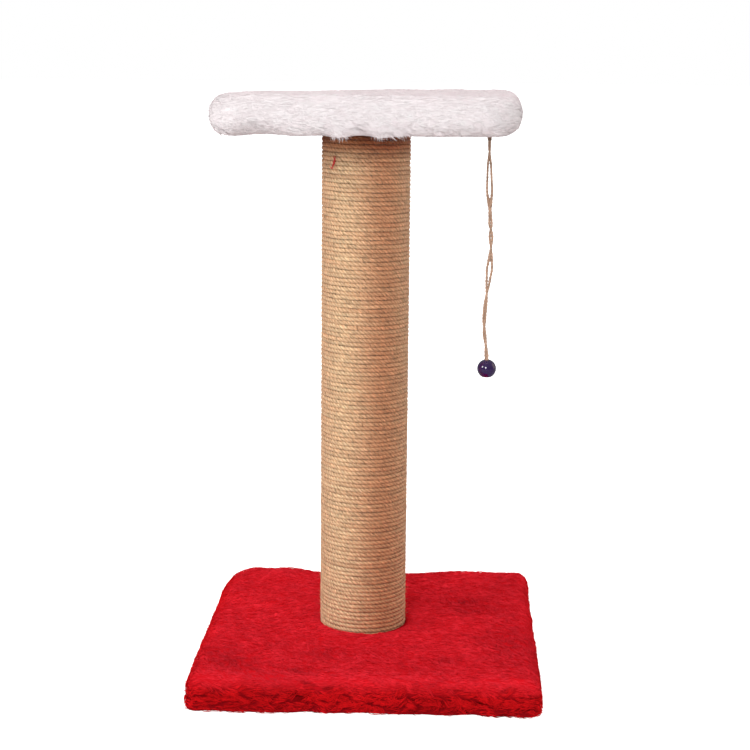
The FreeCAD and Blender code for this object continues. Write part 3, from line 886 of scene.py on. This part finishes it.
def cutPile(name, s, x, rng, roots, path, facing, owner, tones, thin=1.0):
    # width and roll of each strand, then one piece for each stretch round the edge
    count = len(roots)
    width = s["width"] * rng.uniform(0.7, 1.25, count) * thin
    own, tufted = s["roll"]
    roll = rng.normal(0, own, count) + rng.normal(0, tufted, count)[owner]
    order = np.argsort(np.arctan2(roots[:, 1], roots[:, 0] - x))
    made = []
    for first in range(0, count, s["perPiece"]):
        pick = order[first:first + s["perPiece"]]
        made.append(strandMesh("%s%d" % (name, len(made) + 1), path[pick], facing[pick], width[pick], roll[pick],
                               tones[pick], finishes[s["finish"]]))
    return made


def finishBacking(piece, s):  # painted shade: darker below deepHigh, where the pile parts
    makeActive(piece)
    bpy.ops.object.shade_smooth_by_angle(angle=math.radians(35))
    giveFinish(piece.data, s["finish"])
    places = readPlaces(piece)
    deep = fade(places[:, 2], s["deepHigh"], s["deepHigh"] - 0.010)
    far = np.hypot(places[:, 0] - ropeSet["axisX"], places[:, 1])
    deep = np.maximum(deep, np.exp(-((far - 0.0415) / 0.003) ** 2))  # and painted shade close round the post
    paintPoints(piece, "backingTone", np.array(s["colour"]) * (1 - (1 - s["deepShade"]) * deep)[:, None])


def coverBacking(name, s):  # a stuffed slab with room for its board, and its uncut skin that the pile is spread on
    backing = softSlab(name, s["x"], s["side"], s["low"], s["high"], s["corner"], s["topRound"], s["lowRound"])
    swellSkin(backing, s)
    skin = backing.copy()
    skin.data = backing.data.copy()
    carve(backing, softSlab("boardRoom", s["x"], s["boardSide"], s["boardLow"], s["boardHigh"], s["boardCorner"]))
    return backing, skin


def makePerchBacking():
    s = perchSet
    backing, skin = coverBacking("perchBacking", s)
    carve(backing, postCutter(s["postRoom"], *s["postCut"]))
    clearSelection()
    bpy.ops.mesh.primitive_cylinder_add(vertices=48, radius=1, depth=1, location=s["eyeRoom"])
    room = bpy.context.object
    room.scale = s["eyeRoomSize"]
    bakePlace()
    carve(backing, room)
    finishBacking(backing, s)
    return backing, skin


def stapleRooms():  # middle and size of the pocket round each staple under the base
    long, wide, high = baseSet["stapleRoom"]
    for along in baseSet["stapleSteps"]:
        for reach in (-baseSet["stapleReach"], baseSet["stapleReach"]):
            yield (along, reach, 0.0), (long, wide, high)
            yield (reach, along, 0.0), (wide, long, high)


def staplePockets():
    pockets = []
    for middle, size in stapleRooms():
        bpy.ops.mesh.primitive_cube_add(size=1, location=middle)
        pockets.append(bpy.context.object)
        pockets[-1].scale = size
    clearSelection()
    for pocket in pockets:
        pocket.select_set(True)
    bpy.context.view_layer.objects.active = pockets[0]
    bpy.ops.object.join()
    bakePlace()
    return pockets[0]


def makeBaseBacking():
    s = baseSet
    backing, skin = coverBacking("baseBacking", s)
    carve(backing, softSlab("hemOpening", s["x"], s["opening"], *s["openingCut"], s["boardCorner"]))
    carve(backing, postCutter(s["postRoom"], *s["postCut"]))
    carve(backing, staplePockets())
    finishBacking(backing, s)
    return backing, skin


perchBacking, perchSkin = makePerchBacking()
baseBacking, baseSkin = makeBaseBacking()
print("backings made")

# pile of the perch: long, silky, combed round the board from left to right

perchPile = {
    "strands": 80000,
    "perPiece": 27000,
    "length": 0.0115,
    "width": 0.00056, "roll": (0.07, 0.05),
    "midHigh": 0.0006, "tipHigh": 0.0003,
    "tuft": 14.0, "scatter": 0.08, "clump": 0.12,
    "rimFade": (0.524, 0.508),
    "hang": 0.0036, "hangShare": 0.25,  # some tufts of the lower rim hang lower
    # place and half width of the loose ends over the post
    "wisps": [(-0.0250, 0.0065), (0.0098, 0.0056), (0.0275, 0.0025)],
    "flow": ((-0.0031, 0.0, 0.523), (0.134, 0.134, 0.018)),  # middle and half size of what the lay is led round
    "lowest": 0.4975, "postClear": (0.0415, 0.4, 0.514),
    # painted light makes the top and the lower rim lighter
    "finish": "whitePile", "colour": (0.812, 0.755, 0.763), "paintedTopLight": 0.15, "paintedRimLight": 0.07,
    "seed": 101,
}


def growPerchPile():
    s = perchPile

    def weightOf(middle, flat):
        up = flat[:, 2]
        return 1.0 + 0.9 * (1 - np.abs(up)) - 0.5 * (up < -0.8) + 0.6 * ((up > -0.8) & (up < -0.1))

    roots, normals = sampleSurface(perchSkin, s["strands"], weightOf, s["seed"])
    far = np.hypot(roots[:, 0] - ropeSet["axisX"], roots[:, 1])
    under = normals[:, 2] < -0.5
    bareX, bareY = perchSet["eyeBare"]
    inEye = np.hypot((roots[:, 0] - perchSet["eyeRoom"][0]) / bareX, roots[:, 1] / bareY) < 1
    keep = ~(under & ((far < perchSet["postRoom"] + 0.001) | inEye))
    roots, normals = roots[keep], normals[keep]
    count = len(roots)
    rng = np.random.default_rng(s["seed"] + 1)
    patch = patchNoise(roots, 0.05, s["seed"] + 2)
    lowRim = fade(roots[:, 2], *s["rimFade"]) * (normals[:, 2] > -0.75)
    main = np.tile(np.array([1.0, 0.0, 0.0]), (count, 1))
    main[:, 2] = -0.06 * (1 - np.abs(normals[:, 2])) + 0.08 * patch
    main[:, 1] = 0.12 * patchNoise(roots, 0.07, s["seed"] + 5)
    lay = flowLay(roots, normals, *s["flow"], main)
    length = np.where(normals[:, 2] < -0.6, 0.75, 1.0) * s["length"]
    loose = rng.random(count) < 0.03
    midHigh = s["midHigh"] * np.where(loose, 1.5, 1.0)
    tipHigh = s["tipHigh"] * np.where(loose, 2.6, 1.0)
    clump = np.clip(s["clump"] + 0.08 * patch + 0.25 * lowRim, 0, 0.9)
    path, facing, owner = combPile(perchSkin, roots, normals, lay, length, midHigh, tipHigh,
                                   s["scatter"] + 0.10 * lowRim, clump, s["tuft"], s["seed"] + 3, 0.5 * lowRim)
    overPost = np.exp(-((roots[:, 0] - ropeSet["axisX"]) / 0.035) ** 4) * (roots[:, 1] < -0.11)
    hang = lowRim * (np.clip(0.25 + 0.25 * patch, 0, 1) + 0.5 * overPost) * length * 0.35
    hang += lowRim * s["hang"] * (rng.random(count)[owner] < s["hangShare"])
    path[:, 2, 2] -= hang
    path[:, 1, 2] -= hang * 0.35
    wisp = np.zeros(count, bool)
    for x, half in s["wisps"]:
        wisp |= np.abs(roots[:, 0] - x) < half
    wisp &= (roots[:, 2] < 0.512) & (roots[:, 1] < -0.112) & (rng.random(count) < 0.7)
    aside, out = rng.normal(0.001, 0.0032, count), rng.uniform(-0.002, 0.001, count)
    drop = np.stack([aside, out, -rng.uniform(0.001, 0.0065, count)], 1)
    path[wisp, 1] = (roots + drop * np.array([0.75, 0.8, 0.35]))[wisp]
    path[wisp, 2] = (roots + drop)[wisp]
    path = keepClear(path, s["lowest"], *s["postClear"])
    tuft = rng.normal(0, 0.009, count)[owner] + rng.normal(0, 0.010, count) + 0.008 * patch
    # painted light on the top and on the lower rim
    tuft += s["paintedTopLight"] * fade(normals[:, 2], 0.5, 0.9) + s["paintedRimLight"] * lowRim
    tones = np.array(s["colour"]) * (1 + tuft)[:, None]
    tones *= 1 + np.array([0.0, -0.008, -0.006]) * rng.normal(0, 1, count)[owner][:, None]
    thin = np.where(wisp, 0.6, 1.0)
    return cutPile("perchPile", s, perchSet["x"], rng, roots, path, facing, owner, tones, thin)


perchPieces = growPerchPile()
print("perch pile grown, pieces:", len(perchPieces))

# pile of the base: shorter and denser, shaggy along its sides

basePile = {
    "strands": 84000,
    "perPiece": 28000,
    # place, half length, half width and depth of the partings, which lie another way and get painted shade; a depth
    # below zero gives painted light
    "marks": [(0.091, 0.064, 0.009, 0.004, 0.30), (0.093, 0.034, 0.007, 0.004, 0.22),
              (0.070, -0.107, 0.008, 0.006, 0.20), (0.042, -0.073, 0.010, 0.004, 0.14),
              (-0.137, -0.095, 0.016, 0.014, 0.20), (-0.126, -0.119, 0.014, 0.012, 0.16),
              (-0.111, -0.136, 0.014, 0.012, 0.16), (-0.041, -0.094, 0.013, 0.008, 0.18),
              (-0.062, -0.139, 0.010, 0.005, 0.25), (-0.087, -0.151, 0.010, 0.005, 0.22),
              (-0.114, 0.053, 0.010, 0.004, 0.10), (-0.139, 0.087, 0.008, 0.004, 0.12),
              (0.132, -0.060, 0.022, 0.060, 0.18), (0.020, -0.140, 0.090, 0.020, 0.09),
              (0.130, 0.110, 0.020, 0.030, 0.10), (-0.092, 0.045, 0.050, 0.055, -0.06)],
    "length": 0.0085,
    "width": 0.00050, "roll": (0.18, 0.12),
    "midHigh": 0.0010, "tipHigh": 0.0008,
    "tuft": 15.0, "scatter": 0.14, "clump": 0.15,
    # heights where the shaggy side, the floor, the painted shade of the edge and the painted sheen of the top begin
    # and are in full
    "shaggyFade": (0.028, 0.012), "floorFade": (0.007, 0.002), "edgeFade": (0.031, 0.021), "sheenFade": (0.010, 0.022),
    "flow": ((0.0, 0.0, 0.016), (0.16, 0.16, 0.016)),
    "lowest": 0.0004, "postClear": (0.0417, 0.02, 0.1),
    "finish": "redPile", "colour": (0.83, 0.0095, 0.0180),
    # painted shade along the edge, on the shaggy sides, in the gaps between tufts and near the floor
    "darker": {"edge": 0.23, "shaggy": 0.08, "gap": 0.55, "floor": 0.14},
    "green": (1.0, 1.75), "blue": (0.75, 1.65),  # green and blue at the sides, and more on top, where a painted sheen makes it a shade pinker
    "seed": 201,
}


def growBasePile():
    s = basePile

    def weightOf(middle, flat):
        up = flat[:, 2]
        near = np.hypot(middle[:, 0] - ropeSet["axisX"], middle[:, 1]) < 0.054
        return 1.0 + 0.7 * (1 - np.abs(up)) - 0.72 * (up < -0.7) + 1.2 * near * (up > 0.7)

    roots, normals = sampleSurface(baseSkin, s["strands"], weightOf, s["seed"])
    far = np.hypot(roots[:, 0] - ropeSet["axisX"], roots[:, 1])
    under = normals[:, 2] < -0.7
    reach = np.maximum(np.abs(roots[:, 0]), np.abs(roots[:, 1]))
    bare = (normals[:, 2] > 0.7) & (far < baseSet["postRoom"] + 0.0008)
    bare |= under & (reach < baseSet["opening"] / 2 + 0.002)
    for middle, size in stapleRooms():  # the staples press the pile flat
        near = np.abs(roots[:, :2] - np.array(middle[:2])) < np.array(size[:2]) / 2 + 0.0022
        bare |= under & near.all(1)
    roots, normals, under = roots[~bare], normals[~bare], under[~bare]
    count = len(roots)
    high = roots[:, 2]
    rng = np.random.default_rng(s["seed"] + 1)
    patch = patchNoise(roots, 0.075, s["seed"] + 2)
    small = patchNoise(roots, 0.022, s["seed"] + 3)
    upper = np.clip(normals[:, 2], 0, 1)
    mark = np.zeros(count)
    for x, y, long, wide, depth in s["marks"]:
        mark += depth * upper * np.exp(-((roots[:, 0] - x) / long) ** 2 / 2 - ((roots[:, 1] - y) / wide) ** 2 / 2)
    turn = 0.30 * patch - 3.0 * mark
    main = np.stack([np.cos(turn), -0.25 + np.sin(turn), (0.30 * small - 0.15) * (1 - upper)], 1)
    lay = flowLay(roots, normals, *s["flow"], main)
    shaggy = fade(high, *s["shaggyFade"]) * (1 - under)
    atFloor = fade(high, *s["floorFade"])
    edge = fade(high, *s["edgeFade"]) * (1 - under)
    gap = np.clip(patchNoise(roots * np.array([0.3, 0.3, 1.0]), 0.008, s["seed"] + 6) - 0.6, 0, 1) * edge
    length = np.where(under, 0.6, 1.0 + 0.25 * shaggy - 0.30 * atFloor) * s["length"]
    loose = rng.random(count) < 0.04
    midHigh = s["midHigh"] * np.where(under, 0.3, 1.0 + 0.6 * shaggy - 0.3 * atFloor - 0.6 * gap)
    tipHigh = s["tipHigh"] * np.where(under, 0.2, 1.0 + 0.8 * shaggy - 0.7 * atFloor - 0.8 * gap)
    midHigh, tipHigh = midHigh * np.where(loose, 1.4, 1.0), tipHigh * np.where(loose, 2.2, 1.0)
    clump = np.clip(s["clump"] + 0.10 * small + 0.45 * shaggy, 0, 0.92)
    path, facing, owner = combPile(baseSkin, roots, normals, lay, length, midHigh, tipHigh,
                                   s["scatter"] + 0.22 * shaggy, clump, s["tuft"], s["seed"] + 4, 0.5 * shaggy)
    path = keepClear(path, s["lowest"], *s["postClear"])
    # the partings take off painted shade, and add painted light where a depth is below zero
    tuft = rng.normal(0, 0.035, count)[owner] + rng.normal(0, 0.035, count) + 0.04 * patch - mark
    ends = fade(np.abs(normals[:, 0]), 0.0, 0.6)  # less painted shade at the left and right ends
    # painted shade on the sides, in the gaps and by the floor
    dark = s["darker"]
    tuft -= dark["edge"] * edge * (1 - 0.8 * ends) + dark["shaggy"] * shaggy
    tuft -= dark["gap"] * gap + dark["floor"] * atFloor * (1 - ends)
    tones = np.array(s["colour"]) * (1 + tuft)[:, None]
    # painted sheen: the top is pinker
    paintedSheen = upper * fade(high, *s["sheenFade"])
    for channel, (least, more) in ((1, s["green"]), (2, s["blue"])):
        tones[:, channel] *= least + more * paintedSheen
    return cutPile("basePile", s, baseSet["x"], rng, roots, path, facing, owner, tones)


basePieces = growBasePile()
print("base pile grown, pieces:", len(basePieces))
for skin in (perchSkin, baseSkin):
    bpy.data.objects.remove(skin)


# finishes of the solid parts

partFinish = {
    "chipboard": ("base_board", "perch_board"),
    "zincSteel": ("base_staples", "perch_staples", "base_bolt", "perch_bolt", "base_washer", "perch_washer",
                  "lower_tee_nut", "upper_tee_nut", "lower_nails", "upper_nails", "toy_eye"),
    "plugWood": ("lower_plug", "upper_plug"),
    "cardboardTube": ("post_tube",),
}
for finish, nodes in partFinish.items():
    for node in nodes:
        giveFinish(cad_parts[node].data, finish)


# what each piece rides on and stands for

def settle(piece, body, slot, *nodes):
    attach(piece, body)
    if nodes:
        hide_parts(*nodes)


settle(twine, "toy_line", "jute", "toy_cord")
settle(twineFuzz, "toy_line", "jute")
settle(lowKnot, "toy_line", "jute", "toy_low_knot")
settle(topKnot, "toy_tie", "jute", "toy_top_knot")
settle(twineBight, "toy_tie", "jute", "toy_bight")
settle(bead, "toy_ball", "bead_lacquer", "toy_bead")
for piece, node in zip(ropePieces, ("rope_lower_turns", "rope_sleeve", "rope_upper_turns")):
    settle(piece, "stand", "jute", node)
settle(ropeHair, "stand", "jute")
settle(perchBacking, "stand", "white_plush", "perch_cover")
settle(baseBacking, "stand", "red_plush", "base_cover")
for piece in perchPieces:
    settle(piece, "stand", "white_plush")
for piece in basePieces:
    settle(piece, "stand", "red_plush")
print("pieces settled")


# pale floor and soft light

lightSet = {
    "horizon": 0.535, "zenith": 1.03,
    "backdrop": 1.0,
    "floor": (0.80, 0.80, 0.80),
    "mirrored": 0.34, "mirroredFloor": (0.05, 0.05, 0.05),  # dark flags round the set
    "key": {"place": (-2.35, -1.45, 1.50), "size": 0.8, "power": 22.5, "tint": (1.0, 1.0, 1.0)},
    "front": {"place": (-0.50, -2.75, 1.25), "size": 0.8, "power": 24.0, "tint": (1.0, 1.0, 1.0)},
    "rim": {"place": (2.2, 0.6, 1.0), "size": 1.6, "power": 5.5, "tint": (1.0, 0.78, 0.62)},
}


def softBox(name, spec, aim=(0.0, 0.0, 0.28)):
    clearSelection()
    bpy.ops.object.light_add(type="AREA", location=spec["place"])
    lamp = bpy.context.object
    lamp.name = name
    lamp.data.size = spec["size"]
    lamp.data.energy = spec["power"]
    lamp.data.color = spec["tint"]
    lamp.rotation_mode = "QUATERNION"
    lamp.rotation_quaternion = (Vector(aim) - Vector(spec["place"])).to_track_quat("-Z", "Y")


def rayShares(tree):  # how far a mirrored view is dimmed, and whether the camera looks straight at it
    path = tree.nodes.new("ShaderNodeLightPath")
    dimmed = mathNode(tree, "MULTIPLY", path.outputs["Is Glossy Ray"], 1.0 - lightSet["mirrored"])
    return dimmed, path.outputs["Is Camera Ray"]


def setStage():
    clearSelection()
    bpy.ops.mesh.primitive_plane_add(size=60.0, location=(0, 0, 0))
    floor = bpy.context.object
    floor.name = "floor"
    finish, tree, shader = newFinish("paleFloor")
    place = tree.nodes.new("ShaderNodeTexCoord").outputs["Object"]
    tone = placeTone(tree, place, lightSet["floor"], 3.0, 40.0, 0.01)
    dimmed, seen = rayShares(tree)
    shown = mixColour(tree, dimmed, tone.outputs["Colour"], lightSet["mirroredFloor"])
    feed(tree, shader.inputs["Base Color"], shown)
    shader.inputs["Roughness"].default_value = 0.9
    shader.inputs["Emission Color"].default_value = (1, 1, 1, 1)
    feed(tree, shader.inputs["Emission Strength"], seen)  # looks white, throws little light back
    floor.data.materials.append(finish)
    world = bpy.data.worlds.new("studio")
    world.use_nodes = True
    tree = world.node_tree
    background = tree.nodes["Background"]
    background.inputs["Color"].default_value = (1.0, 1.0, 1.0, 1.0)
    ray = tree.nodes.new("ShaderNodeTexCoord").outputs["Generated"]
    height = addNode(tree, "ShaderNodeSeparateXYZ", {0: ray}).outputs["Z"]
    inputs = {"Value": height, "To Min": lightSet["horizon"], "To Max": lightSet["zenith"]}
    sky = addNode(tree, "ShaderNodeMapRange", inputs).outputs[0]  # brighter overhead
    dimmed, seen = rayShares(tree)
    lit = mathNode(tree, "MULTIPLY", sky, mathNode(tree, "SUBTRACT", 1.0, dimmed))
    white = mathNode(tree, "MULTIPLY", seen, lightSet["backdrop"])  # the backdrop is plain white
    feed(tree, background.inputs["Strength"], mathNode(tree, "MAXIMUM", lit, white))
    bpy.context.scene.world = world
    for name in ("key", "front", "rim"):
        softBox(name + "Light", lightSet[name])
    bpy.context.scene.view_settings.view_transform = "Standard"


setStage()
print("stage set")
